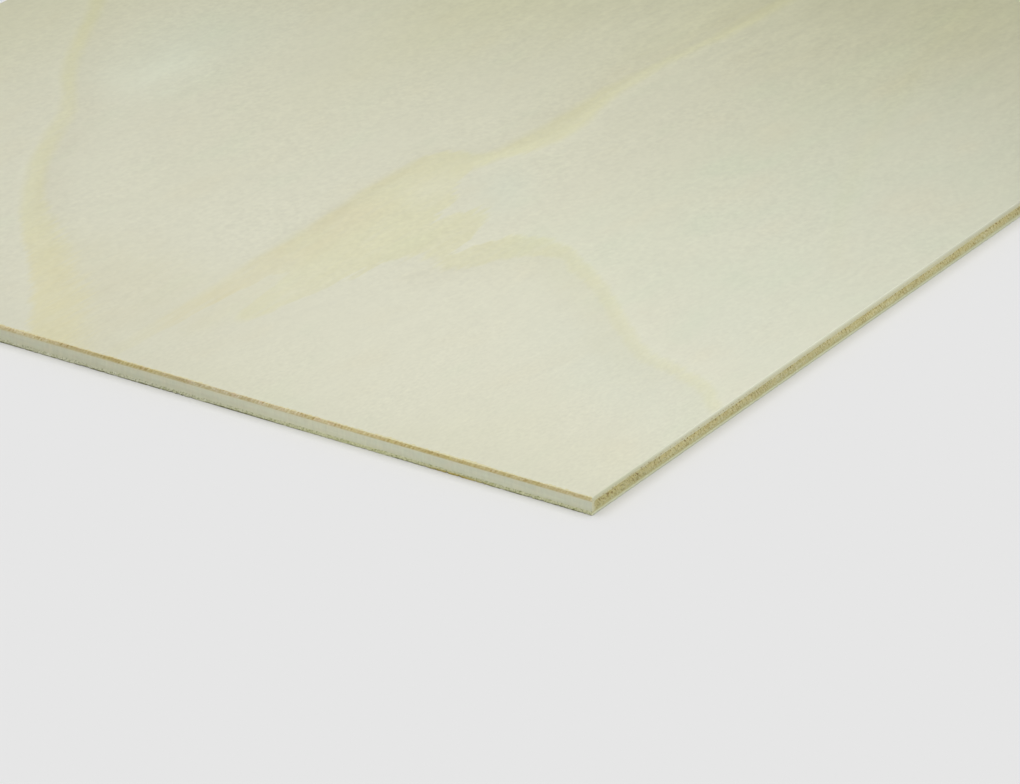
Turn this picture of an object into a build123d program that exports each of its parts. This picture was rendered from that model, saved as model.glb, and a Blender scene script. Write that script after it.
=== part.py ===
from build123d import *
import os

# A craft sheet of three-ply poplar plywood, lying flat with its face upward.
# The origin is under the middle of the sheet. X runs along the length, which is the grain of the
# face and back plies, Y runs across the sheet, which is the grain of the core ply, and Z is up.

# Outline of the sheet as sawn
sheet_length = 500.0
sheet_width = 250.0

# Thickness of each ply after sanding
face_thickness = 0.92
core_thickness = 2.05
back_thickness = 0.88

# Rounding that sanding leaves where the two broad faces meet the sawn edges
face_arris_radius = 0.15
back_arris_radius = 0.10

# Rounding at the four upright corners, which sawing leaves almost sharp
corner_radius = 0.25

# Heights of the two glue lines above the underside
lower_glue_line = back_thickness
upper_glue_line = back_thickness + core_thickness


def ply(thickness, bottom):
    """One veneer of the whole outline, with its underside at the given height."""
    outline = RectangleRounded(sheet_length, sheet_width, corner_radius)
    return Pos(0, 0, bottom) * extrude(outline, thickness)


def eased(veneer, outer_side, radius):
    """Round the rim of the veneer's outer side, the one that isn't glued."""
    return fillet(veneer.faces().sort_by(Axis.Z)[outer_side].edges(), radius)


# Back ply: rests on the floor, with its rim rounded below
back_veneer = eased(ply(back_thickness, 0), 0, back_arris_radius)

# Core ply: glued between the other two, grain across the sheet
core_veneer = ply(core_thickness, lower_glue_line)

# Face ply: the sanded upper side, with its rim rounded above
face_veneer = eased(ply(face_thickness, upper_glue_line), -1, face_arris_radius)

os.makedirs("parts", exist_ok=True)
for name, solid in {
    "face_veneer": face_veneer,
    "core_veneer": core_veneer,
    "back_veneer": back_veneer,
}.items():
    export_step(solid, f"parts/{name}.step")
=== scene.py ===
import math
from functools import partial

import bpy
import numpy as np
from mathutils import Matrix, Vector


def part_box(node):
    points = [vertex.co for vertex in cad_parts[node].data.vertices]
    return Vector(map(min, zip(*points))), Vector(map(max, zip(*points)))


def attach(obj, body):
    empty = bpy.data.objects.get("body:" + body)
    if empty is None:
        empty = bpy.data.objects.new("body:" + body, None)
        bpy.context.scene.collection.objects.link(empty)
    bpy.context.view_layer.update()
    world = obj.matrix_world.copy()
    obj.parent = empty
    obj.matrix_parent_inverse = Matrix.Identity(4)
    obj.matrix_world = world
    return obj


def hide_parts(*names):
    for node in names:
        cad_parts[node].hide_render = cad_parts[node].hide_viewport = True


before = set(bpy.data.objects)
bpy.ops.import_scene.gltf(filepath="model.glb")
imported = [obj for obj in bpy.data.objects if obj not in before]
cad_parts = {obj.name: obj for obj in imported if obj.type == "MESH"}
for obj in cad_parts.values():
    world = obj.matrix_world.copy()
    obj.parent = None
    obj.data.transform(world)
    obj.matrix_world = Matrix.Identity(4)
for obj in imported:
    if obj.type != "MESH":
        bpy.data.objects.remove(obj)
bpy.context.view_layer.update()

# Lengths are in millimetres until they reach Blender, which takes metres
MM = 0.001

# The sheet as the frame gives it: half of its outline, and the heights of each ply's two faces
FACE_LOW, FACE_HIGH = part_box("face_veneer")
CORE_LOW, CORE_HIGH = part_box("core_veneer")
BACK_LOW, BACK_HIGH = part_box("back_veneer")
HALF_LENGTH = FACE_HIGH.x / MM
HALF_WIDTH = FACE_HIGH.y / MM
HALVES = np.array([HALF_LENGTH, HALF_WIDTH])
THICKNESS = FACE_HIGH.z / MM
FACE_BOTTOM = FACE_LOW.z / MM
CORE_TOP = CORE_HIGH.z / MM
CORE_BOTTOM = CORE_LOW.z / MM
BACK_TOP = BACK_HIGH.z / MM
BACK_BOTTOM = BACK_LOW.z / MM

# Shape of the sheet's rim, as the plies are modelled
FACE_ARRIS = 0.15
BACK_ARRIS = 0.1
CORNER_ROUND = 0.25

# Cells round the rim: a power of two on each side, so that the broad faces can be coarser inside
CELLS_LONG = 2048
CELLS_END = 1024
RIM_CELLS = 2 * (CELLS_LONG + CELLS_END)
PERIMETER = 4 * (HALF_LENGTH + HALF_WIDTH)


# Random relief

def ripple(seed, along, up, cell_along, cell_up):
    """Smooth random heights from 0 to 1, in lumps of about the given size, with no seam round the rim."""
    columns = max(4, round(PERIMETER / cell_along))
    rows = int(np.ceil(max(float(np.max(up)), 0) / cell_up)) + 3
    grid = np.random.default_rng(seed).random((rows, columns))
    a = along / PERIMETER * columns
    b = np.clip(up, 0, None) / cell_up
    i = np.floor(a).astype(int)
    j = np.floor(b).astype(int)
    s = (a - i) ** 2 * (3 - 2 * (a - i))
    t = (b - j) ** 2 * (3 - 2 * (b - j))
    i0, i1 = i % columns, (i + 1) % columns
    low = grid[j, i0] * (1 - s) + grid[j, i1] * s
    high = grid[j + 1, i0] * (1 - s) + grid[j + 1, i1] * s
    return low * (1 - t) + high * t


def over(values, start, full):
    """0 below start, 1 above full and a smooth step between."""
    t = np.clip((values - start) / (full - start), 0, 1)
    return t * t * (3 - 2 * t)


# The rim's outline

def rim_outline():
    """Points round the sheet, anticlockwise from the near corner, and how far along the rim each is."""
    x = np.linspace(-HALF_LENGTH, HALF_LENGTH, CELLS_LONG + 1)[:-1]
    y = np.linspace(-HALF_WIDTH, HALF_WIDTH, CELLS_END + 1)[:-1]
    near = np.stack([x, np.full_like(x, -HALF_WIDTH)], 1)
    right = np.stack([np.full_like(y, HALF_LENGTH), y], 1)
    points = np.concatenate([near, right, -near, -right])
    corners = np.cumsum([0, CELLS_LONG, CELLS_END, CELLS_LONG])
    points[corners] -= np.sign(points[corners]) * CORNER_ROUND * (1 - math.sqrt(0.5))
    along = np.arange(RIM_CELLS) * (PERIMETER / RIM_CELLS)
    return points, along, corners


RIM, ALONG, CORNERS = rim_outline()
ON_END = np.zeros(RIM_CELLS, bool)
ON_END[CORNERS[1]:CORNERS[2]] = True
ON_END[CORNERS[3]:] = True

# How far each column is from the nearest corner, so that relief dies away before it
ONE_WAY = np.abs(ALONG - ALONG[CORNERS][:, None])
TO_CORNER = np.min(np.minimum(ONE_WAY, PERIMETER - ONE_WAY), axis=0)
STEADY = over(TO_CORNER, 0.3, 2)


def inset(points, distance):
    """The same points on the outline that lies the distance inside."""
    return points * (1 - np.asarray(distance, float)[..., None] / HALVES)


# Making the meshes

SHARP_ANGLE = math.radians(50)


def add_object(name, data):
    thing = bpy.data.objects.new(name, data)
    bpy.context.scene.collection.objects.link(thing)
    return thing


class Ply:
    """Collects one veneer: its points in millimetres, and its faces with their material and map place."""

    def __init__(self):
        self.points = []
        self.count = 0
        self.faces = []

    def add_points(self, xy, z):
        """Adds points at the height z, and gives their numbers."""
        xyz = np.concatenate([xy.reshape(-1, 2), np.broadcast_to(z, xy.shape[:-1]).reshape(-1, 1)], 1)
        first = self.count
        self.points.append(xyz)
        self.count += len(xyz)
        return np.arange(first, self.count).reshape(xy.shape[:-1])

    def add_faces(self, corners, slots, places):
        """corners is faces by corners, slots a material number a face, places the corners' map places."""
        self.faces.append((corners, np.broadcast_to(slots, len(corners)), places))

    def build(self, name, materials):
        points = np.concatenate(self.points) * MM
        corners, slots, places = zip(*self.faces)
        mesh = bpy.data.meshes.new(name)
        mesh.vertices.add(len(points))
        mesh.vertices.foreach_set("co", points.ravel())
        sizes = np.concatenate([np.full(len(c), c.shape[1]) for c in corners])
        mesh.loops.add(int(sizes.sum()))
        mesh.loops.foreach_set("vertex_index", np.concatenate([c.ravel() for c in corners]))
        mesh.polygons.add(len(sizes))
        mesh.polygons.foreach_set("loop_start", np.cumsum(sizes) - sizes)
        mesh.polygons.foreach_set("material_index", np.concatenate(slots))
        for material in materials:
            mesh.materials.append(material)
        layer = mesh.uv_layers.new(name="OFBake")
        layer.data.foreach_set("uv", np.concatenate([p.ravel() for p in places]))
        mesh.update(calc_edges=True)
        mesh.polygons.foreach_set("use_smooth", np.ones(len(sizes), bool))
        mesh.set_sharp_from_angle(angle=SHARP_ANGLE)
        mesh.validate()
        return add_object(name, mesh)


# Insets of the rings that lead from the fine rim to the coarse inside of a broad face
OPEN_RINGS = (0.9, 1.7, 3, 5)
GLUED_RINGS = (0.4, 1, 2.2, 5, 10, 20, 35)

# The (low, high) corners that parts of a ply take on its map: an outer ply's broad face and rim, the
# core's rim, and the two sides of a ply that are glued
MARGIN = 0.002
OPEN_AREA = ((MARGIN, 0.18), (1 - MARGIN, 1 - MARGIN))
OUTER_RIM_AREA = ((MARGIN, 0.015), (1 - MARGIN, 0.178))
CORE_RIM_AREA = ((MARGIN, 0.02), (1 - MARGIN, 1 - MARGIN))
GLUED_AREA_ABOVE = ((MARGIN, MARGIN), (0.49, 0.012))
GLUED_AREA_BELOW = ((0.51, MARGIN), (1 - MARGIN, 0.012))
# The strips, one above another, that the rim is cut into on the map
OUTER_STRIPS = 12
CORE_STRIPS = 24


def cap(ply, ring, z, up, rings, slot, area):
    """Closes the veneer above or below, from the rim's row of points inwards through the rings."""
    low, high = np.array(area)

    def lay(corners):
        corners = corners if up else corners[:, ::-1]
        xy = np.concatenate(ply.points)[corners][..., :2]
        ply.add_faces(corners, slot, low + (high - low) * np.clip(xy / HALVES / 2 + 0.5, 0, 1))

    points = RIM
    for distance in rings:
        points = points[::2]
        inner = ply.add_points(inset(points, distance), z)
        a, b, c = ring[0::2], ring[1::2], np.roll(ring, -2)[0::2]
        p, q = inner, np.roll(inner, -1)
        lay(np.stack([a, b, p], 1))
        lay(np.stack([b, q, p], 1))
        lay(np.stack([b, c, q], 1))
        ring = inner
    coarse = RIM_CELLS // len(ring)
    nx, ny = CELLS_LONG // coarse, CELLS_END // coarse
    xs = np.linspace(-1, 1, nx + 1)[1:-1] * (HALF_LENGTH - rings[-1])
    ys = np.linspace(-1, 1, ny + 1)[1:-1] * (HALF_WIDTH - rings[-1])
    grid = np.zeros((ny + 1, nx + 1), int)
    grid[1:-1, 1:-1] = ply.add_points(np.stack(np.meshgrid(xs, ys), -1), z)
    grid[0, :-1] = ring[:nx]
    grid[:-1, -1] = ring[nx:nx + ny]
    grid[-1, :0:-1] = ring[nx + ny:2 * nx + ny]
    grid[:0:-1, 0] = ring[2 * nx + ny:]
    lay(np.stack([grid[:-1, :-1], grid[:-1, 1:], grid[1:, 1:], grid[1:, :-1]], -1).reshape(-1, 4))


def rim(ply, insets, heights, end_slot, side_slot, strips, area):
    """The sawn edge, from its upper row of points to its lower one, which it returns."""
    rows = [ply.add_points(inset(RIM, d), h) for d, h in zip(insets, heights)]
    tall = [
        np.mean(np.hypot(d1 - d0, h1 - h0))
        for d0, d1, h0, h1 in zip(insets[:-1], insets[1:], heights[:-1], heights[1:])
    ]
    depth = np.concatenate([[0], np.cumsum(tall)])
    depth /= depth[-1]
    (left, low), (right, high) = area
    per_strip = RIM_CELLS // strips
    strip, column = np.divmod(np.arange(RIM_CELLS), per_strip)
    pitch = (high - low) / strips
    u0 = left + (right - left) * column / per_strip
    u1 = left + (right - left) * (column + 1) / per_strip
    base = low + strip * pitch + MARGIN / 2
    slots = np.where(ON_END, end_slot, side_slot)
    for upper, lower, d0, d1 in zip(rows[:-1], rows[1:], depth[:-1], depth[1:]):
        corners = np.stack([upper, lower, np.roll(lower, -1), np.roll(upper, -1)], 1)
        v0 = base + (pitch - MARGIN) * (1 - d0)
        v1 = base + (pitch - MARGIN) * (1 - d1)
        places = np.stack([np.stack(place, -1) for place in ((u0, v0), (u0, v1), (u1, v1), (u1, v0))], 1)
        ply.add_faces(corners, slots, places)
    return rows[0], rows[-1]


# Relief of the sawn edges: depths below the CAD surface

CRUMB_DEPTH = 0.045
STREAK_DEPTH = 0.03
PIT_DEPTH = 0.1
FURROW_DEPTH = 0.022
SAW_MARK_DEPTH = 0.012
# Rows nearer than this to a broad face are at its rim
TOUCHING = 0.01


def end_grain_depth(seed, along, up):
    """Fibres cut across: crumbs about 0.4 mm wide, leaning streaks and some deeper pits."""
    leaning = along + 0.5 * up
    crumbs = ripple(seed, leaning, up, 0.45, 0.5)
    streaks = ripple(seed + 1, along + 0.9 * up, up, 0.6, 2.5)
    patches = ripple(seed + 2, along, up, 6, 3)
    pits = over(ripple(seed + 3, leaning, up, 0.7, 0.6), 0.72, 0.95)
    return CRUMB_DEPTH * crumbs + STREAK_DEPTH * streaks + PIT_DEPTH * pits * (0.4 + 0.6 * patches)


def side_grain_depth(seed, along, up):
    """Fibres cut along their length: shallow furrows along the edge, and the saw's faint marks."""
    furrows = ripple(seed, along, up, 14, 0.22)
    marks = ripple(seed + 1, along + 0.2 * up, up, 1.1, 4)
    return FURROW_DEPTH * furrows + SAW_MARK_DEPTH * marks


def sawn(seed, along, up, fibres_along_x):
    """Relief all round the rim of a veneer whose fibres run along the sheet, or across it."""
    cut_across = end_grain_depth(seed, along, up)
    cut_along = side_grain_depth(seed + 10, along, up)
    return np.where(ON_END == fibres_along_x, cut_across, cut_along)


def profile(top, bottom, rows, arris_top, arris_bottom):
    """Insets and heights of a veneer's rim, from above to below, with the rounding of its open edge."""
    angles = np.radians([0, 30, 60])
    insets, heights = [], []
    if arris_top:
        insets += list(arris_top * (1 - np.sin(angles)))
        heights += list(top - arris_top * (1 - np.cos(angles)))
    side = np.linspace(top - arris_top, bottom + arris_bottom, rows + 1)
    insets += [0.0] * len(side)
    heights += list(side)
    if arris_bottom:
        insets += list(arris_bottom * (1 - np.sin(angles[::-1])))
        heights += list(bottom + arris_bottom * (1 - np.cos(angles[::-1])))
    return np.array(insets), np.array(heights)


# Chips along an open arris: how far up the rim they reach, and how deep they bite on ends and long sides
FACE_CHIPS = (0.35, 0.1, 0.05)
BACK_CHIPS = (0.4, 0.2, 0.08)


def ragged(insets, heights, edge, chips, seed):
    """Where fibres tore out of the arris at the edge's height, the rows near it move in and away."""
    reach, end_bite, side_bite = chips
    bite = over(ripple(seed, ALONG, 0 * ALONG, 0.55, 1), 0.58, 0.95)
    bite *= over(ripple(seed + 1, ALONG, 0 * ALONG, 25, 1), 0.3, 0.7)
    bite *= np.where(ON_END, end_bite, side_bite) * STEADY
    moved_in, moved_up = [], []
    for d, h in zip(insets, heights):
        near = max(0, 1 - abs(h - edge) / reach)
        moved_in.append(d + bite * near)
        moved_up.append(h + np.sign(np.mean(heights) - edge) * 0.6 * bite * near)
    return moved_in, moved_up


def relief(insets, heights, top, bottom, seed, fibres_along_x, arris):
    """The insets with the saw's relief added, half as deep in the rows at the rim of a rounded ply."""
    deep = []
    for d, h in zip(insets, heights):
        up = np.clip(np.broadcast_to(h, RIM_CELLS) - bottom, 0, None)
        at_rim = min(abs(np.mean(h) - top), abs(np.mean(h) - bottom)) <= TOUCHING
        share = 0.5 if arris and at_rim else 1
        deep.append(d + sawn(seed, ALONG, up, fibres_along_x) * STEADY * share)
    return deep


def veneer(name, node, materials, seed, top, bottom, rows, fibres_along_x, open_side="", arris=0):
    """One ply as a detailed mesh. Its open side is "above", "below" or none."""
    ply = Ply()
    above, below = open_side == "above", open_side == "below"
    insets, heights = profile(top, bottom, rows, arris if above else 0, arris if below else 0)
    if above:
        insets, heights = ragged(insets, heights, top, FACE_CHIPS, seed + 40)
    if below:
        insets, heights = ragged(insets, heights, bottom, BACK_CHIPS, seed + 40)
    insets = relief(insets, heights, top, bottom, seed, fibres_along_x, arris)
    end_slot, side_slot = len(materials) - 2, len(materials) - 1
    strips, rim_area = (OUTER_STRIPS, OUTER_RIM_AREA) if open_side else (CORE_STRIPS, CORE_RIM_AREA)
    first, last = rim(ply, insets, heights, end_slot, side_slot, strips, rim_area)
    opened = (OPEN_RINGS, 0, OPEN_AREA)
    cap(ply, first, top, True, *(opened if above else (GLUED_RINGS, side_slot, GLUED_AREA_ABOVE)))
    cap(ply, last, bottom, False, *(opened if below else (GLUED_RINGS, side_slot, GLUED_AREA_BELOW)))
    piece = ply.build(name, materials)
    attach(piece, "root")
    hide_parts(node)


# Making the materials

def shade(red, green, blue):
    """A colour as a display shows it, from 0 to 255, as the linear colour that Blender takes."""
    def linear(level):
        share = level / 255
        return share / 12.92 if share <= 0.04045 else ((share + 0.055) / 1.055) ** 2.4
    return (linear(red), linear(green), linear(blue), 1)


def add_node(tree, kind, **settings):
    node = tree.nodes.new("ShaderNode" + kind)
    for name, value in settings.items():
        setattr(node, name, value)
    return node


def show(tree, kind, shader):
    """Makes the shader what the material or the world shows."""
    output = add_node(tree, "Output" + kind)
    tree.links.new(shader.outputs[0], output.inputs["Surface"])


def arithmetic(operation, turned=False):
    """The method that works out one operation of a field and another value, in that order or turned."""
    def method(field, other):
        values = (other, field) if turned else (field, other)
        return field.surface.math(operation, *values)
    return method


class Field:
    """A value that changes over a surface: the output of a node. Arithmetic with it adds nodes."""

    def __init__(self, surface, socket):
        self.surface = surface
        self.socket = socket

    def __abs__(self):
        return self.surface.math("ABSOLUTE", self)

    __add__ = arithmetic("ADD")
    __radd__ = arithmetic("ADD", turned=True)
    __sub__ = arithmetic("SUBTRACT")
    __rsub__ = arithmetic("SUBTRACT", turned=True)
    __mul__ = arithmetic("MULTIPLY")
    __rmul__ = arithmetic("MULTIPLY", turned=True)
    __truediv__ = arithmetic("DIVIDE")


def most(first, *others):
    for other in others:
        first = first.surface.math("MAXIMUM", first, other)
    return first


def step(value, start, full):
    """0 before start, 1 past full and a smooth step between."""
    node = add_node(value.surface.tree, "MapRange", interpolation_type="SMOOTHSTEP")
    for key, given in (("Value", value), ("From Min", start), ("From Max", full)):
        value.surface.feed(node.inputs[key], given)
    return Field(value.surface, node.outputs[0])


def peak(value, centre, half_width):
    """1 where value is at the centre, and 0 a half-width away from it."""
    return step(abs(value - centre), half_width, 0)


def curve(value, points, low=0, high=1):
    """A smooth curve through (value, result) points, whose results lie from low to high."""
    surface = value.surface
    start, end = points[0][0], points[-1][0]
    node = add_node(surface.tree, "FloatCurve")
    line = node.mapping.curves[0]
    for number, (at, result) in enumerate(points):
        spot = ((at - start) / (end - start), (result - low) / (high - low))
        if number < 2:
            line.points[number].location = spot
        else:
            line.points.new(*spot)
    node.mapping.update()
    share = surface.math("DIVIDE", value - start, end - start, clamp=True)
    surface.feed(node.inputs["Value"], share)
    return Field(surface, node.outputs[0]) * (high - low) + low


WOOD_SHINE = 0.25


class Surface:
    """A material in the making: its nodes, and its colour so far. Lengths are in millimetres."""

    def __init__(self, name, levels=(0, 0, 0)):
        self.material = bpy.data.materials.new(name)
        self.material.use_nodes = True
        self.tree = self.material.node_tree
        self.tree.nodes.clear()
        self.colour = shade(*levels)
        coordinates = add_node(self.tree, "TexCoord")
        scale = add_node(self.tree, "VectorMath", operation="SCALE")
        scale.inputs["Scale"].default_value = 1 / MM
        self.tree.links.new(coordinates.outputs["Object"], scale.inputs[0])
        split = add_node(self.tree, "SeparateXYZ")
        self.tree.links.new(scale.outputs[0], split.inputs[0])
        self.x, self.y, self.z = (Field(self, socket) for socket in split.outputs)

    def feed(self, socket, value):
        """Links a field to a socket, or sets the socket to a number or a colour."""
        if isinstance(value, Field):
            self.tree.links.new(value.socket, socket)
        elif isinstance(value, tuple):
            socket.default_value = (*value, 1)[:len(socket.default_value)]
        else:
            socket.default_value = value

    def math(self, operation, a, b=0, c=0, clamp=False):
        node = add_node(self.tree, "Math", operation=operation, use_clamp=clamp)
        for socket, value in zip(node.inputs, (a, b, c)):
            self.feed(socket, value)
        return Field(self, node.outputs[0])

    def vector(self, x, y, z):
        node = add_node(self.tree, "CombineXYZ")
        for socket, value in zip(node.inputs, (x, y, z)):
            self.feed(socket, value)
        return Field(self, node.outputs[0])

    def noise(self, lump, detail=2, roughness=0.5, seed=0, at=None):
        """Noise round 0, mostly from -0.5 to 0.5, in lumps of the given (x, y, z) size."""
        spot = self.vector(*[
            value * (1 / size) + seed * (7.3 + 3.1 * number)
            for number, (value, size) in enumerate(zip(at or (self.x, self.y, self.z), lump))
        ])
        node = add_node(self.tree, "TexNoise")
        self.feed(node.inputs["Vector"], spot)
        node.inputs["Scale"].default_value = 1
        node.inputs["Detail"].default_value = detail
        node.inputs["Roughness"].default_value = roughness
        return Field(self, node.outputs[0]) - 0.5

    def tint(self, share, other, way="MULTIPLY"):
        """Multiplies the surface's colour by the other one, as far as the share goes."""
        node = add_node(self.tree, "Mix", data_type="RGBA", blend_type=way, clamp_factor=True)
        sockets = {socket.identifier: socket for socket in node.inputs}
        for key, value in (("Factor_Float", share), ("A_Color", self.colour), ("B_Color", other)):
            self.feed(sockets[key], value)
        result = next(socket for socket in node.outputs if socket.identifier == "Result_Color")
        self.colour = Field(self, result)

    def paint(self, share, levels):
        """Lays a colour, given as a display shows it, over the surface's own."""
        self.tint(share, shade(*levels), "MIX")

    def vary(self, noise, start, full, high, low):
        """Tints places of high noise with one colour, and places of low noise with another."""
        self.tint(step(noise, start, full), high)
        self.tint(step(noise, -start, -full), low)

    def level(self, factor):
        """Makes the surface's colour brighter or darker by the factor."""
        self.tint(1, self.vector(factor, factor, factor))

    def finish(self, roughness, height, depth):
        """The material: height is from 0 to 1 over a relief of that depth."""
        bump = add_node(self.tree, "Bump")
        bump.inputs["Distance"].default_value = depth * MM
        self.feed(bump.inputs["Height"], height)
        shader = add_node(self.tree, "BsdfPrincipled")
        shader.inputs["Specular IOR Level"].default_value = WOOD_SHINE
        self.feed(shader.inputs["Base Color"], self.colour)
        self.feed(shader.inputs["Roughness"], roughness)
        self.tree.links.new(bump.outputs[0], shader.inputs["Normal"])
        show(self.tree, "Material", shader)
        return self.material


# The face: distances along and across the sheet are from the near corner

# Ring A runs up from the near end and away along the sheet: its lower and upper edge
RING_A_LOW = (
    (0, 120), (13, 129), (25, 138.5), (37, 151.7), (49, 165.6), (61, 177), (85, 190.7), (97, 196.5),
    (115, 209.8), (139, 223.2), (151, 229.4), (190, 252), (230, 285)
)
RING_A_HIGH = (
    (0, 133.8), (13, 143), (25, 152.6), (37, 164), (49, 174), (61, 182.2), (85, 195.2), (97, 200.5),
    (115, 213.6), (139, 226.8), (151, 233), (190, 256), (230, 288.5)
)
# Ring C runs in from the near side and opens into a broad patch: its two ends, by the distance across
RING_C_LEFT = (
    (0, 43.1), (8, 50.5), (16, 54.6), (26, 56.8), (36, 65.3), (51, 79.4), (60, 85.6), (66, 89),
    (71, 86.6), (76, 79.4), (81, 72.4), (90, 74), (94, 66), (98.6, 44), (100.4, 31), (103, 28),
    (106, 42), (108, 52), (109.6, 49), (112.4, 10), (114, -25), (117, -25), (118.5, 0), (120, 50)
)
RING_C_RIGHT = (
    (0, 47.4), (8, 55.2), (16, 59), (26, 61.8), (36, 70.8), (51, 84.8), (60, 91.2), (68, 96.2),
    (75, 96.4), (80, 93), (83.6, 84), (84.8, 79), (86.6, 88), (89, 98.5), (93, 102), (97, 94),
    (100, 102), (104, 109.5), (108, 123.5), (112, 125.5), (116, 123), (118.5, 119), (120, 108)
)
PATCH_TOP = ((0, 117.8), (45, 118.9), (62, 119.4), (85, 119.9), (100, 120.2), (118, 119.8), (140, 119))
# The patch's tail, one ring that runs on along the sheet
TAIL_TOP = (
    (100, 119.6), (116, 119.6), (121.5, 117), (125.5, 111.5), (133, 108.4), (160, 108), (172, 108.5),
    (184, 107.2), (226, 104.2), (300, 104), (360, 97), (500, 84)
)
TAIL_BOTTOM = (
    (100, 107), (118, 106), (127, 103.6), (136, 100.3), (148, 98.9), (166, 102.1), (202, 101.8),
    (214, 100.2), (238, 98.7), (300, 100), (360, 93), (500, 80)
)
# Rings past the photograph's edge
RING_FAR = (
    (0, 392), (10, 345), (25, 318), (42, 309), (52, 318), (60, 342), (66, 388), (72, 470), (80, 600)
)
RING_LEFT = ((0, 178), (20, 190), (40, 205), (60, 222), (80, 236), (110, 262))
FAINT_RING = ((110, 11), (150, 32), (190, 46), (230, 57), (280, 66), (330, 72))
RING_REAR = ((240, 300), (290, 262), (320, 228), (355, 203), (400, 188), (450, 181), (500, 178))
# How the even wood's brightness and blueness change, by the distance from the near end
WOOD_LIGHT = (
    (0, 0.965), (3, 0.957), (8, 0.97), (25, 0.985), (50, 0.996), (110, 1), (150, 0.977), (185, 0.957),
    (215, 0.925), (245, 0.882), (262, 0.865), (310, 0.862), (380, 0.9), (500, 0.92)
)
WOOD_BLUE = (
    (0, 0.975), (14, 0.99), (100, 0.988), (150, 0.968), (185, 0.945), (215, 0.903), (245, 0.864),
    (262, 0.842), (310, 0.85), (380, 0.885), (600, 0.92)
)
# How far these changes lag, and how much paler the wood is, by the distance across
LIGHT_LAG = (
    (0, -34), (14, -24), (30, -9), (50, -16), (72, -13), (92, 10), (112, 21), (145, 30), (165, 40),
    (190, 46), (250, 46)
)
BLUE_LAG = (
    (0, 16), (30, 16), (45, 8), (60, -6), (85, 0), (115, -8), (135, -18), (158, -40), (178, -20),
    (250, -24)
)
LIGHT_ACROSS = (
    (0, 1.024), (22, 1.004), (60, 1), (85, 0.988), (110, 0.986), (132, 0.981), (155, 0.982),
    (180, 0.992), (205, 1.003), (225, 1), (250, 0.975)
)
BLUE_ACROSS = (
    (0, 1.012), (18, 1.011), (35, 1.008), (60, 1.005), (120, 1.005), (175, 1.003), (198, 1),
    (215, 0.988), (235, 0.955), (250, 0.95)
)


class Grain:
    """Places on the face: u along and v across from the near corner, and both as fibres draw them out."""

    def __init__(self, wood):
        self.u = wood.x + HALF_LENGTH
        self.v = wood.y + HALF_WIDTH
        comb = wood.noise((34, 0.5, 9), detail=3, roughness=0.62, seed=1)
        fringe = wood.noise((14, 1.3, 9), roughness=0.6, seed=9)
        waver = wood.noise((9, 5, 9), detail=1, seed=17)
        slow = wood.noise((30, 12, 30), detail=1, seed=2)
        patch = peak(self.u, 78, 62) * peak(self.v, 98, 24)
        near_a = step(self.u, 62, 25) * step(self.v, 112, 124)
        reach = most(patch, near_a) * 18.5 + 3.5
        self.shift = comb * reach + fringe * (reach * 0.8)
        self.along = self.u + self.shift + waver * 2.5
        scallop = wood.noise((10, 5, 9), roughness=0.6, seed=52)
        torn = fringe * (patch * 3.2 + 0.9) + scallop * (patch * 5)
        self.across = self.v + (slow * 1.2 + (torn + waver * 1.3))


def ring_a(at):
    """Shares of yellow, dark, pale and deep yellow wood of ring A, and the depth below its upper edge."""
    u = at.u
    below = at.across - curve(at.along, RING_A_LOW, 90, 300)
    above = curve(u + at.shift * 0.3, RING_A_HIGH, 90, 300) - at.across
    thin = step(u, 28, 58)
    fade = 6.5 - thin * 4.9
    yellow = step(below, fade * -1, fade) * step(above, -1.5, 1.5)
    deep = (1 - thin) * yellow
    skirt = step(at.along, 56, 36) * step(at.across, 110, 124) * step(above, -1.5, 1.5)
    full = ((0, 0.88), (30, 0.84), (55, 0.93), (70, 1), (88, 0.8), (98, 0.78), (112, 0.92), (500, 0.84))
    yellow = most(yellow * curve(u, full), skirt * 0.26)
    under = step(above, 15, 6.5) * step(above, 1, 5)
    strength = (
        (0, 0), (32, 0), (43, 0.35), (60, 0.95), (67, 1), (73, 0.7), (82, 0.9), (92, 0.5), (110, 0.5),
        (150, 0.35), (230, 0.4)
    )
    dark = under * curve(u, strength)
    pale = peak(above, -1.4, 2.2) * (thin * 0.5)
    pale = most(pale, peak(u, 18, 22) * peak(above, -1, 9) * 0.55)
    return yellow, dark, pale, deep, above


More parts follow.
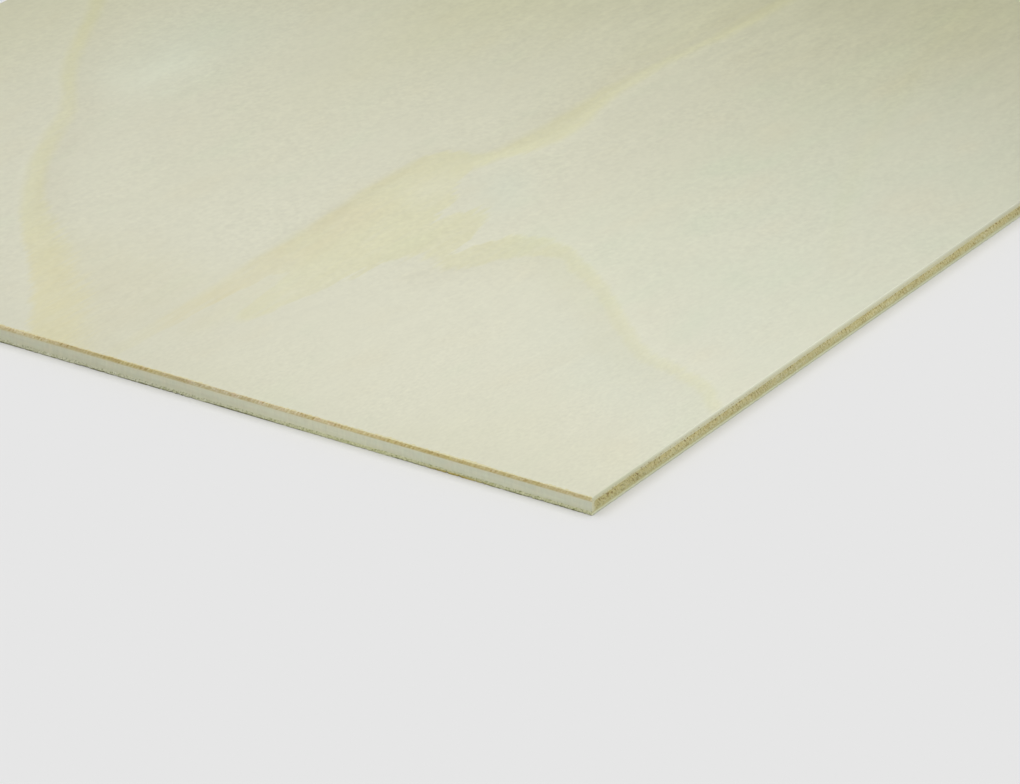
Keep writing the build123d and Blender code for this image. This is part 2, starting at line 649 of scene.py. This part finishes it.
def ring_c(wood, at):
    """Shares of yellow, dark and pale wood of ring C and of the patch that it opens into."""
    u, v = at.u, at.v
    left = at.along - curve(at.across, RING_C_LEFT, -30, 150)
    right = curve(at.across, RING_C_RIGHT, -30, 150) - at.along
    roof = curve(u, PATCH_TOP, 110, 125) - at.across
    soft = step(v, 70, 84) + 1.6
    yellow = step(left, soft * -0.9, soft) * step(right, -1.1, 1.5)
    crisp = step(u, 75, 100)
    yellow *= step(roof, 0.2 - crisp * 0.5, 3.2 - crisp * 0.9)
    yellow *= curve(v, (
        (0, 0.66), (45, 0.68), (60, 0.76), (72, 0.81), (83, 0.92), (92, 1), (250, 1)
    ))
    yellow *= step(u, -10, 32) * 0.45 + 0.5
    # Its left end frays out into separate streaks
    fray = wood.noise((26, 1.5, 9), detail=3, roughness=0.6, seed=51)
    kept = step(fray + (u - 34) * 0.009, -0.22, 0.1)
    yellow *= kept * 0.5 + 0.52
    waist = peak(u, 47, 20) * step(v, 84, 94)
    yellow *= 1 - waist * 0.24
    gap = step(u, 8, 26) * step(u, 64, 52) * peak(v, 107.5, 6)
    yellow = most(yellow, gap * 0.3)
    halo = step(left, -13, -2) * step(right, -0.5, 3) * step(v, 84, 60)
    yellow = most(yellow, halo * (step(v, 12, 32) * 0.14))
    lobe = peak(u + at.shift * 0.5, 105, 15) * peak(v, 107.5, 8.5)
    yellow *= 1 - lobe * 0.45

    # The ring's left side is dark and broad, its right side pale and crisp
    dull = step(left, -18, 0) * step(right, -0.5, 3)
    dull *= step(v, -14, 30) * step(v, 97, 84)
    lower_left = peak(left, 3, 14) * step(v, 110, 100)
    patch = step(v, 84, 92) * yellow * (lower_left * 0.42 + 0.05)
    top = peak(roof, 2.2, 4.4) * (step(u, 48, 78) * 0.5 + 0.35)
    top *= step(at.along, 129, 120) * step(u, 5, 30)
    knee = peak(at.along, 81, 9) * peak(at.across, 78.5, 3.5)
    shaded = peak(u, 54, 16) * peak(v, 100, 10)
    dark = most(dull * 0.52, patch, top, knee * 0.6, shaded * 0.3)
    pale = step(right, 4.2, 1.2) * step(right, -9, 0.2)
    pale = pale * step(v, 114, 72) * (0.5 + peak(v, 24, 28) * 0.3)
    notch = peak(at.along, 86, 12) * peak(at.across, 84, 2.1)
    lens = peak(at.along, 74, 10) * peak(at.across, 100.6, 1.8)
    return yellow, dark, most(pale, notch, lobe * 0.8, lens * 0.8)


def tail_ring(at):
    """Shares of yellow, dark and pale wood of the patch's tail, which has a crisp pale line below."""
    u = at.u
    top = curve(at.along, TAIL_TOP, 70, 130) - at.across
    bottom = at.across - curve(at.along, TAIL_BOTTOM, 70, 130)
    tail = step(u, 112, 124)
    yellow = step(top, -0.5, 3.2) * step(bottom, -1.6, 1.2) * tail
    yellow *= step(u, 195, 165) * 0.25 + 0.75
    # Past the broad part the dark wood reaches down to the pale line
    slim = step(u, 150, 176)
    under = bottom + slim * 1.2
    dark = step(top, -8.5, 0.5) * step(under, 2.2, 5) * tail
    depth = (
        (110, 0.5), (128, 0.5), (142, 0.5), (152, 0.66), (165, 0.62), (200, 0.7), (230, 0.75),
        (260, 0.4), (500, 0.5)
    )
    dark *= curve(u, depth)
    halo = step(top, -16, -2) * step(top, 1, 0) * step(u, 150, 185)
    yellow = most(yellow, halo * 0.22)
    pale = step(bottom, -5, 0.2) * step(under, 4, 1.4) * tail
    pale *= 1.2 + slim * 0.5
    return yellow, dark, pale


def plain_ring(at, sharp):
    """Shares of yellow, dark and pale wood of a ring: at is 0 on its fading side, 1 on its crisp one."""
    yellow = step(at, -0.35, 0.55) * step(at, 1 + sharp, 1 - sharp)
    dark = step(at, -0.2, 0.5) * step(at, 1, 0.55)
    pale = peak(at, 1.45, 0.55)
    return yellow, dark, pale


def outer_rings(at):
    """The rings past the photograph's edge, as (yellow, dark, pale) of each."""
    u = at.u
    far = (curve(at.across, RING_FAR, 290, 610) - at.along) / 5.5
    yellow, dark, pale = plain_ring(1 - far, 0.25)
    rings = [(yellow * 0.7, dark * 0.4, pale * 0.6)]
    for points, low, high, inside in (
        (RING_LEFT, 170, 270, step(u, 108, 100)),
        (RING_REAR, 170, 310, step(u, 242, 250)),
    ):
        line = curve(at.along, points, low, high)
        yellow, dark, pale = plain_ring((at.across - line) / 4.8, 0.22)
        rings.append((yellow * inside, dark * (inside * 0.8), pale * (inside * 0.5)))
    # A faint one runs up from the near side
    line = curve(u, FAINT_RING, 0, 120)
    yellow = peak(at.across - line, 0, 4.5) * step(u, 108, 130)
    rings.append((yellow * (step(u, 330, 250) * 0.16), 0, 0))
    return rings


def even_wood(wood, at):
    """The face without its rings: darker and yellower far away, with faint green and rosy clouds."""
    u, v = at.u, at.v
    lag = curve(v, LIGHT_LAG, -50, 50) * step(u, 50, 115)
    light = curve(u - lag, WOOD_LIGHT) * curve(v, LIGHT_ACROSS, 0, 1.1)
    drift = u - curve(v, BLUE_LAG, -60, 20)
    drift += wood.noise((34, 11, 34), seed=3) * 26
    blue = curve(drift, WOOD_BLUE) * curve(v, BLUE_ACROSS, 0, 1.1)
    wood.tint(1, wood.vector(light, light, light * blue))

    cloud = wood.noise((26, 12, 26), seed=4)
    green = step(u, 62, 100) * step(u, 235, 190) * step(v, 84, 56)
    green *= 0.7 + cloud * 2
    wood.tint(green, (0.972, 1, 0.998))
    wood.vary(cloud, 0.05, 0.25, (0.985, 1, 0.992), (1, 0.992, 0.98))
    # Cool places: beside the patch, on both sides of ring C, and round the pale cloud above the middle
    drawn = u + cloud * 12
    lean = drawn - v * 0.9
    cool = [peak(lean, 28, 18) * peak(v, 94, 13)]
    lean = drawn - v * 0.5
    cool.append(peak(lean, 37, 22) * peak(v, 26, 44) * 0.8)
    cool.append(peak(lean, 70, 20) * peak(v, 12, 26) * 0.6)
    cool.append(peak(drawn, 142, 42) * peak(v, 198, 24))
    wood.tint(most(*cool), (0.972, 1, 1.014))
    torn = v + wood.noise((14, 7, 14), detail=3, roughness=0.6, seed=21) * 16
    pale_cloud = peak(drawn, 124, 26) * peak(torn, 195, 12)
    wood.tint(pale_cloud, (1.062, 1.08, 1.092))


def face_material():
    wood = Surface("sanded_poplar_face", (218, 217, 196))
    at = Grain(wood)
    u, v = at.u, at.v
    yellow_a, dark_a, pale_a, deep, below_top = ring_a(at)
    yellow_c, dark_c, pale_c = ring_c(wood, at)
    rings = [(yellow_a, dark_a, pale_a), (yellow_c, dark_c, pale_c), tail_ring(at)] + outer_rings(at)
    yellow, dark, pale = (most(*shares) for shares in zip(*rings))
    # All the wood between ring A and the patch is a little dull near the end of the sheet
    dull_end = step(v, 80, 120) * step(below_top, -1, 8) * step(u, 66, 18)
    dull_end *= 0.72 - deep * 0.45
    dark = most(dark, dull_end)
    warm_a = step(u, 52, 25) * step(v, 116, 124)
    warm_c = step(u, 100, 84) * step(u, 0, 25) * peak(v, 113, 9)
    warm = most(warm_a, warm_c) * most(yellow_a, yellow_c)

    # The rings' colours come and go in streaks along the fibres
    streak = wood.noise((9, 0.7, 4), detail=3, roughness=0.65, seed=5)
    patchy = wood.noise((11, 3.5, 9), roughness=0.6, seed=18)
    strength = 0.95 + (streak + patchy * 0.4)
    uneven = 0.95 + (streak * 1.2 + patchy * 1.5)
    even_wood(wood, at)
    wood.tint(yellow * strength, (1.002, 0.994, 0.87))
    wood.tint(deep * strength, (1.02, 1.018, 0.968))
    wood.tint(warm * strength, (0.994, 0.968, 0.962))
    wood.tint(dark * uneven, (0.958, 0.948, 0.935))
    wood.tint(pale * (0.85 + patchy * 1.2), (1.033, 1.033, 1.034))

    # Fibres and pores, all along the sheet, and darker streaks towards the far end
    close = step(u + v * 0.6, 150, 40)
    near_fine = wood.noise((1.25, 0.68, 1), detail=1, seed=6)
    far_fine = wood.noise((1.45, 1.08, 1), detail=1, seed=23)
    fine = near_fine * (close * 1.08) + far_fine * (1.05 - close)
    fine *= 1 + wood.noise((24, 13, 9), detail=1, seed=20) * 1.6
    coarse = wood.noise((4.6, 1.4, 4), roughness=0.55, seed=7)
    calm = step(wood.noise((28, 14, 9), detail=1, seed=19), 0.2, -0.15)
    blotch = wood.noise((15, 3.2, 9), detail=3, roughness=0.6, seed=10)
    far = step(u + v * 0.15, 185, 235)
    pores = step(wood.noise((1.6, 0.2, 1), detail=1, seed=8), 0.17, 0.3)
    drawn = 0.045 + (calm * 0.04 + far * 0.06)
    figure = fine * 0.135 + coarse * drawn
    figure += blotch * (far * 0.13 + 0.035)
    mottle = peak(u, 150, 16) * peak(v, 167, 11)
    figure -= mottle * (0.012 + coarse * 0.12)
    wood.level(1 + figure)
    wood.tint(pores * 0.5, (0.94, 0.93, 0.9))

    # The saw has nibbled the end's arris, so end grain shows there
    end_gap = wood.math("MINIMUM", u, 2 * HALF_LENGTH - u)
    nibble = wood.noise((0.8, 0.55, 1), seed=13)
    stretch = wood.noise((9, 9, 9), detail=1, seed=14)
    depth = 0.3 + (nibble * 1.6 + stretch * 1.2)
    torn = step(end_gap - depth, 0.12, -0.12)
    wood.paint(torn * 0.85, (214, 206, 160))
    height = 0.6 + (fine * 0.5 + (coarse * 0.5 + pores * -0.5))
    roughness = 0.62 + coarse * 0.15
    return wood.finish(roughness, height, 0.012)


# The sawn edges: side_grain and end_grain start a material, and each edge then gets marks of its own, where
# away is the distance along the edge from the near corner

def side_grain(name, base, lines, along_x, seed):
    """A ply sawn along its fibres: even wood, with thin streaks along the edge and faint saw marks."""
    wood = Surface(name, base)
    run, depth = (9, 6) if along_x else (6, 9)
    streak = wood.noise((run, depth, 0.2), detail=3, roughness=0.6, seed=seed)
    broad = wood.noise((run * 4, depth * 4, 1.2), detail=1, seed=seed + 1)
    marks = wood.noise((0.5, 0.5, 3), seed=seed + 2)
    wood.tint(step(streak, 0, 0.3), lines)
    wood.level(1 + (broad * 0.16 + marks * 0.1))
    height = 0.5 + (streak * 0.5 + marks * 0.5)
    return wood, height


def end_grain(name, dark, middling, pale, along_x, seed):
    """A ply sawn across its fibres: crumbs of dark, middling and pale wood, in leaning streaks."""
    wood = Surface(name, dark)
    at = leaning(wood, along_x)
    crumbs = wood.noise((0.42, 0.42, 0.5), detail=1, roughness=0.6, seed=seed, at=at)
    streaks = wood.noise((0.38, 0.38, 1.8), detail=1, seed=seed + 1, at=at)
    broad = wood.noise((5, 5, 2), detail=1, seed=seed + 2)
    fine = wood.noise((0.16, 0.16, 0.16), detail=1, seed=seed + 4)
    mix = crumbs * 0.8 + (streaks * 0.7 + (broad * 0.45 + fine * 0.3))
    wood.paint(step(mix, -0.34, 0.02), middling)
    wood.paint(step(mix, 0.02, 0.36), pale)
    height = 0.5 + (crumbs * 0.6 + fine * 0.3)
    return wood, height


def leaning(wood, along_x):
    """Places on an edge whose marks lean over as they rise."""
    lean = wood.z * 0.8
    return (wood.x + lean, wood.y, wood.z) if along_x else (wood.x, wood.y + lean, wood.z)


def face_ply_end():
    wood, height = end_grain("face_ply_cut_across", (176, 148, 78), (209, 193, 135), (233, 224, 174),
                             False, 11)
    golden = wood.noise((1, 2.2, 3), seed=26)
    wood.vary(golden, 0, 0.25, (0.985, 1, 0.88), (1.03, 0.98, 1.05))
    # How light and how dull it is changes along the edge
    away = wood.y + HALF_WIDTH
    light = curve(away, (
        (0, 1.03), (16, 1.02), (30, 0.98), (48, 1.06), (63, 1.16), (80, 1.03), (100, 0.92), (121, 0.94),
        (134, 1.12), (250, 1)
    ), 0, 1.3)
    dull = curve(away, (
        (0, 1.17), (18, 1.1), (32, 1), (50, 1.06), (63, 1.24), (92, 1.26), (110, 1.02), (131, 1.24),
        (250, 1.1)
    ), 0, 1.3)
    less_red = 1.12 - dull * 0.12
    wood.tint(1, wood.vector(light * less_red, light, light * dull))
    # Pale fibres of the face hang over the arris in places
    over_edge = wood.noise((1, 0.6, 1), seed=15)
    drop = -0.06 + step(away, 90, 45) * 0.15 + over_edge * 0.4
    hang = step(wood.z - (THICKNESS - drop), -0.1, 0.08)
    wood.paint(hang, (220, 215, 172))
    # The glue line is dull, and the ply thins out towards the far side
    line = FACE_BOTTOM + 0.1 + step(away, 60, 150) * 0.1
    low = step(wood.z + over_edge * 0.2, line + 0.16, line - 0.04)
    wood.paint(low * 0.65, (205, 199, 160))
    return wood.finish(0.75, height, 0.05)


def face_ply_side():
    wood, height = side_grain("face_ply_cut_along", (225, 224, 194), (0.95, 0.95, 0.93), True, 12)
    wood.paint(step(wood.z, THICKNESS - 0.6, THICKNESS - 0.25), (226, 227, 205))
    away = wood.x + HALF_LENGTH
    light = curve(away, (
        (0, 0.9), (12, 0.94), (25, 0.98), (60, 1.01), (90, 1.07), (115, 1.06), (150, 1), (500, 0.99)
    ), 0, 1.2)
    yellower = 1 - step(away, 34, 6) * 0.075
    wood.tint(1, wood.vector(light, light, light * yellower))
    # Painted highlight: the upper part of the side is paler, as a rounded arris lit from above would be,
    # most of all some 60 to 105 mm from the corner
    painted_arris_highlight = curve(away, ((0, 0), (12, 0.1), (30, 0.7), (60, 1), (105, 1), (150, 0.4), (500, 0.4)))
    painted_arris_highlight *= step(wood.z, THICKNESS - 0.45, THICKNESS - 0.15)
    painted_arris_highlight *= 0.36 + step(wood.z, THICKNESS - 0.05, THICKNESS - 0.25) * 0.39
    wood.paint(painted_arris_highlight, (247, 247, 224))
    at = leaning(wood, True)
    uneven = wood.noise((0.5, 0.5, 0.5), seed=16, at=at)
    low = step(wood.z + uneven * 0.5, FACE_BOTTOM + 0.22, FACE_BOTTOM - 0.1)
    wood.paint(low * 0.85, (213, 207, 161))
    # Near the corner the saw has torn it at the glue line, dark and pale by turns
    specks = wood.noise((0.48, 0.48, 0.5), detail=1, seed=24, at=at)
    torn = step(away, 90, 30) * step(wood.z, FACE_BOTTOM + 0.36, FACE_BOTTOM + 0.05)
    wood.paint(step(specks, 0.04, 0.16) * (torn * 0.8), (150, 126, 74))
    wood.paint(step(specks, -0.04, -0.16) * (torn * 0.7), (232, 228, 184))
    return wood.finish(0.7, height, 0.02)


def core_side():
    wood, height = side_grain("core_cut_along", (217, 219, 195), (0.955, 0.955, 0.94), False, 22)
    away = wood.y + HALF_WIDTH
    dull = curve(away, (
        (0, 0.985), (20, 1), (48, 1.03), (65, 1.02), (85, 0.985), (102, 0.945), (135, 0.92), (250, 0.94)
    ), 0, 1.1)
    dull *= 0.985 + step(wood.z, CORE_BOTTOM, CORE_TOP) * 0.025
    mottle = wood.noise((2.4, 2.4, 0.7), seed=27)
    marks = wood.noise((0.5, 0.5, 2.5), seed=28)
    wood.level(dull * (1 + (mottle * 0.1 + marks * 0.13)))
    # It is less green further from the near corner, yellower below, and warm against the face ply
    wood.tint(step(away, 40, 65), (1.013, 1, 0.982))
    wood.tint(step(wood.z, CORE_BOTTOM + 0.9, CORE_BOTTOM + 0.3), (1, 1, 0.965))
    wood.tint(step(wood.z, CORE_TOP - 0.45, CORE_TOP), (1.015, 0.99, 0.95))
    rosy = wood.noise((2.2, 2.2, 1.4), detail=1, seed=29)
    wood.vary(rosy, 0, 0.25, (1.015, 0.99, 0.985), (0.985, 1, 1.01))
    return wood.finish(0.7, height, 0.02)


def core_end():
    wood, height = end_grain("core_cut_across", (166, 146, 90), (209, 201, 146), (229, 222, 182),
                             True, 21)
    at = leaning(wood, True)
    away = wood.x + HALF_LENGTH
    crumbs = wood.noise((0.6, 0.6, 0.6), seed=25, at=at)
    # Dark bundles of fibres: large near the corner and along the upper part
    nearer = step(away, 110, 10)
    specks = wood.noise((0.48, 0.48, 0.5), detail=1, seed=24, at=at)
    band = peak(wood.z, CORE_TOP - 0.62, 0.55) * 0.75 + (nearer * 0.38 + 0.04)
    wood.paint(step(specks, 0.06, 0.2) * band, (140, 114, 66))
    rims = peak(specks, -0.1, 0.12) * (nearer * 0.4)
    wood.paint(rims, (226, 216, 160))
    # It is dull at the corner, and greener below and yellower or rosier in places
    light = curve(away, (
        (0, 0.88), (10, 0.9), (19, 0.9), (32, 1.01), (50, 0.98), (70, 0.97), (90, 1.02), (107, 1.1),
        (125, 1.06), (500, 1.04)
    ), 0, 1.2)
    wood.level(light)
    wood.tint(step(away, 30, 8), (1, 1, 0.94))
    wood.tint(step(wood.z, CORE_BOTTOM + 0.9, CORE_BOTTOM + 0.2), (0.972, 1, 1.06))
    hue = wood.noise((1.8, 1.8, 1.2), detail=1, seed=30)
    wood.vary(hue, 0, 0.25, (1.02, 0.99, 0.94), (0.98, 1, 1.05))
    # Against the face ply the fibres are paler, and torn ones hide the glue line except at the corner
    reach = curve(away, (
        (0, 0.04), (12, 0.05), (38, 0.3), (100, 0.34), (126, 0.44), (150, 0.26), (500, 0.26)
    ), 0, 0.5)
    hidden = step(wood.z + reach + crumbs * 0.35, CORE_TOP - 0.14, CORE_TOP + 0.1)
    wood.paint(hidden * 0.9, (223, 222, 190))
    # The corner itself is pale
    wood.paint(step(away + crumbs, 1.3, 0.5) * 0.85, (224, 223, 190))
    return wood.finish(0.8, height, 0.07)


def back_ply_end():
    wood, height = end_grain("back_ply_cut_across", (172, 176, 120), (215, 215, 176), (231, 233, 200),
                             False, 41)
    specks = wood.noise((0.26, 0.26, 0.24), detail=1, seed=44)
    wood.paint(step(specks, 0.08, 0.18) * 0.85, (116, 124, 66))
    wood.paint(step(specks, -0.1, -0.22) * 0.6, (232, 234, 176))
    # The saw has torn the lower arris, and the dark band along most of its length is partly torn fibre and
    # partly painted shade where the sheet meets the floor
    away = wood.y + HALF_WIDTH
    tear_and_shade_reach = curve(away, (
        (0, 0.05), (7, 0.045), (16, -0.05), (25, 0.02), (34, 0.045), (44, 0.01), (53, -0.1),
        (63, -0.02), (72, 0.01), (82, 0.15), (92, -0.045), (101, 0.045), (120, 0.045), (250, 0)
    ), -0.2, 0.2)
    splinters = wood.noise((1, 0.45, 1), seed=45)
    waves = wood.noise((1, 9, 1), detail=1, seed=46)
    torn = splinters * 0.6 + tear_and_shade_reach + waves * 0.5
    low = step(wood.z - torn * 0.9, 0.2, 0.06)
    wood.paint(low * 0.9, (104, 104, 54))
    # It is duller further away, and one stretch near the corner is golden brown
    wood.tint(step(away, 60, 105), (1, 1, 1.14))
    wood.tint(peak(away, 54, 20), (1.07, 1.07, 1.04))
    brown = peak(away, 31, 11) * step(wood.z, 0.68, 0.22)
    wood.paint(brown * 0.8, (188, 166, 68))
    return wood.finish(0.78, height, 0.05)


def back_ply_side():
    wood, height = side_grain("back_ply_cut_along", (227, 230, 197), (0.95, 0.95, 0.93), True, 42)
    uneven = wood.noise((0.5, 0.5, 0.5), seed=47, at=leaning(wood, True))
    high = step(wood.z + uneven * 0.45, BACK_TOP - 0.44, BACK_TOP - 0.14)
    fainter = step(wood.x + HALF_LENGTH, 110, 160) * 0.35
    wood.paint(high * (0.9 - fainter), (201, 196, 142))
    # Painted shade: the lowest part of the side, up to about 0.17 mm, is darker where the sheet meets the
    # floor
    wood.tint(step(wood.z, 0.17, 0.04) * 0.9, (0.74, 0.74, 0.68))
    return wood.finish(0.7, height, 0.02)


def back_material():
    """The underside: a plainer veneer with two quiet rings and coarser sanding."""
    wood = Surface("sanded_poplar_back", (212, 209, 184))
    u = wood.x + HALF_LENGTH
    v = wood.y + HALF_WIDTH
    comb = wood.noise((40, 0.6, 9), detail=3, roughness=0.6, seed=31)
    along = u + comb * 12
    across = v + wood.noise((60, 25, 60), detail=1, seed=32) * 14
    for points in (((0, 60), (120, 66), (240, 84), (330, 80), (420, 62), (500, 58)),
                   ((0, 170), (90, 172), (200, 186), (300, 205), (400, 208), (500, 196))):
        at = across - curve(along, points, 0, 250)
        yellow = step(at, -7, 0.5) * step(at, 2.6, 0.5)
        wood.tint(yellow * 0.8, (0.99, 0.975, 0.87))
        wood.tint(peak(at, 0.5, 2.2) * 0.8, (0.96, 0.95, 0.93))
    cloud = wood.noise((40, 16, 26), seed=33)
    wood.tint(step(cloud, 0, 0.2), (0.97, 0.985, 0.955))
    fine = wood.noise((1.3, 0.26, 1), roughness=0.6, seed=34)
    coarse = wood.noise((12, 0.9, 4), detail=3, roughness=0.55, seed=35)
    wood.level(1 + (fine * 0.2 + coarse * 0.12))
    height = 0.5 + (fine * 0.5 + coarse * 0.5)
    return wood.finish(0.68, height, 0.02)


# The three plies

veneer("face_ply", "face_veneer", [face_material(), face_ply_end(), face_ply_side()],
       seed=100, top=THICKNESS, bottom=FACE_BOTTOM, rows=5, fibres_along_x=True,
       open_side="above", arris=FACE_ARRIS)
veneer("core_ply", "core_veneer", [core_side(), core_end()],
       seed=200, top=CORE_TOP, bottom=CORE_BOTTOM, rows=10, fibres_along_x=False)
veneer("back_ply", "back_veneer", [back_material(), back_ply_end(), back_ply_side()],
       seed=300, top=BACK_TOP, bottom=BACK_BOTTOM, rows=5, fibres_along_x=True,
       open_side="below", arris=BACK_ARRIS)

# Camera, at the photograph's angle: heading is from +X towards +Y, pitch is down
CAMERA_FROM_CORNER = Vector((-802.4, -508.9, 478.7)) * MM
HEADING = math.radians(33.32)
PITCH = math.radians(25.48)
SENSOR_WIDTH = 36
FOCAL_LENGTH = 198.7
NEAREST_SEEN = 50

near_corner = Vector((-HALF_LENGTH, -HALF_WIDTH, 0)) * MM
camera_data = bpy.data.cameras.new("camera")
camera_data.sensor_width = SENSOR_WIDTH
camera_data.lens = FOCAL_LENGTH
camera_data.clip_start = NEAREST_SEEN * MM
camera = add_object("camera", camera_data)
camera.location = near_corner + CAMERA_FROM_CORNER
camera.rotation_euler = (math.pi / 2 - PITCH, 0, HEADING - math.pi / 2)
bpy.context.scene.camera = camera

# Light: an even sky, a broad lamp above the near end and a faint low fill from beside it, which together
# light the near corner at a level of about 1
BACKGROUND = shade(230, 230, 230)
SKY_LEVEL = 0.48
KEY_LEVEL = 0.5
KEY_FROM_CORNER = (12, 48)
KEY_HEIGHT = 296
KEY_SIDE = 400
FILL_LEVEL = 0.075
FILL_HEADING = math.radians(72)
FILL_HEIGHT = math.radians(15)
FILL_SPREAD = math.radians(40)


def lamp_share(x, y, height, root, arctan):
    """How much of the lamp a level point sees, where x and y lead from it to below the lamp's middle."""
    half = KEY_SIDE / 2
    share = 0
    for sx, sy in ((1, 1), (-1, 1), (1, -1), (-1, -1)):
        a, b = x + sx * half, y + sy * half
        corner = 0
        for one, other in ((a, b), (b, a)):
            far = root(one * one + height ** 2)
            corner += one / far * arctan(other / far)
        share += corner * (sx * sy / (2 * math.pi))
    return share


def shows_ground(tree):
    """1 for the rays that show the pale ground: to the camera, in gloss and through glass."""
    path = add_node(tree, "LightPath")
    shown = path.outputs["Is Camera Ray"]
    for kind in ("Is Glossy Ray", "Is Transmission Ray"):
        either = add_node(tree, "Math", operation="MAXIMUM")
        tree.links.new(shown, either.inputs[0])
        tree.links.new(path.outputs[kind], either.inputs[1])
        shown = either.outputs[0]
    return shown


def light_sky():
    """An even white sky, which shows as the pale ground."""
    world = bpy.data.worlds.new("studio")
    bpy.context.scene.world = world
    world.use_nodes = True
    tree = world.node_tree
    tree.nodes.clear()
    choice = add_node(tree, "MixShader")
    tree.links.new(shows_ground(tree), choice.inputs[0])
    for number, (colour, strength) in enumerate((((1, 1, 1, 1), SKY_LEVEL), (BACKGROUND, 1))):
        sky = add_node(tree, "Background")
        sky.inputs["Color"].default_value = colour
        sky.inputs["Strength"].default_value = strength
        tree.links.new(sky.outputs[0], choice.inputs[number + 1])
    show(tree, "World", choice)


def light_fill():
    lamp = bpy.data.lights.new("fill_lamp", "SUN")
    lamp.energy = math.pi * FILL_LEVEL
    lamp.angle = FILL_SPREAD
    fill = add_object("fill_lamp", lamp)
    from_lamp = Vector((
        -math.cos(FILL_HEADING) * math.cos(FILL_HEIGHT),
        -math.sin(FILL_HEADING) * math.cos(FILL_HEIGHT),
        math.sin(FILL_HEIGHT),
    ))
    fill.rotation_euler = from_lamp.to_track_quat("Z", "Y").to_euler()


def light_key(glow):
    lamp = bpy.data.lights.new("key_lamp", "AREA")
    lamp.shape = "SQUARE"
    lamp.size = KEY_SIDE * MM
    lamp.energy = math.pi * (KEY_SIDE * MM) ** 2 * glow
    key = add_object("key_lamp", lamp)
    key.location = near_corner + Vector((*KEY_FROM_CORNER, THICKNESS + KEY_HEIGHT)) * MM
    key.visible_camera = False


key_glow = KEY_LEVEL / lamp_share(*KEY_FROM_CORNER, KEY_HEIGHT, math.sqrt, math.atan)
light_sky()
light_fill()
light_key(key_glow)

# Floor: pale and even, with the sheet's shadow
FLOOR_SIDE = 30000
FLOOR_GREY = 0.77


def floor_material():
    """Grey paper, whose glow where it is seen makes up for the lamp's light falling off further out."""
    paper = Surface("floor_paper")
    tree = paper.tree
    x = KEY_FROM_CORNER[0] - HALF_LENGTH - paper.x
    y = KEY_FROM_CORNER[1] - HALF_WIDTH - paper.y
    root, arctan = (partial(paper.math, kind) for kind in ("SQRT", "ARCTANGENT"))
    seen = lamp_share(x, y, KEY_HEIGHT + THICKNESS, root, arctan)
    lit = seen * key_glow + (SKY_LEVEL + FILL_LEVEL * math.sin(FILL_HEIGHT))
    missing = paper.math("SUBTRACT", BACKGROUND[0], lit * FLOOR_GREY, clamp=True)
    diffuse = add_node(tree, "BsdfDiffuse")
    diffuse.inputs["Color"].default_value = (FLOOR_GREY, FLOOR_GREY, FLOOR_GREY, 1)
    glow = add_node(tree, "Emission")
    paper.feed(glow.inputs["Strength"], missing * Field(paper, shows_ground(tree)))
    both = add_node(tree, "AddShader")
    tree.links.new(diffuse.outputs[0], both.inputs[0])
    tree.links.new(glow.outputs[0], both.inputs[1])
    show(tree, "Material", both)
    return paper.material


floor_mesh = bpy.data.meshes.new("floor")
edge = FLOOR_SIDE * MM / 2
floor_mesh.from_pydata(
    [(-edge, -edge, 0), (edge, -edge, 0), (edge, edge, 0), (-edge, edge, 0)], [], [(0, 1, 2, 3)]
)
floor_mesh.materials.append(floor_material())
floor = add_object("floor", floor_mesh)

bpy.context.scene.view_settings.view_transform = "Standard"
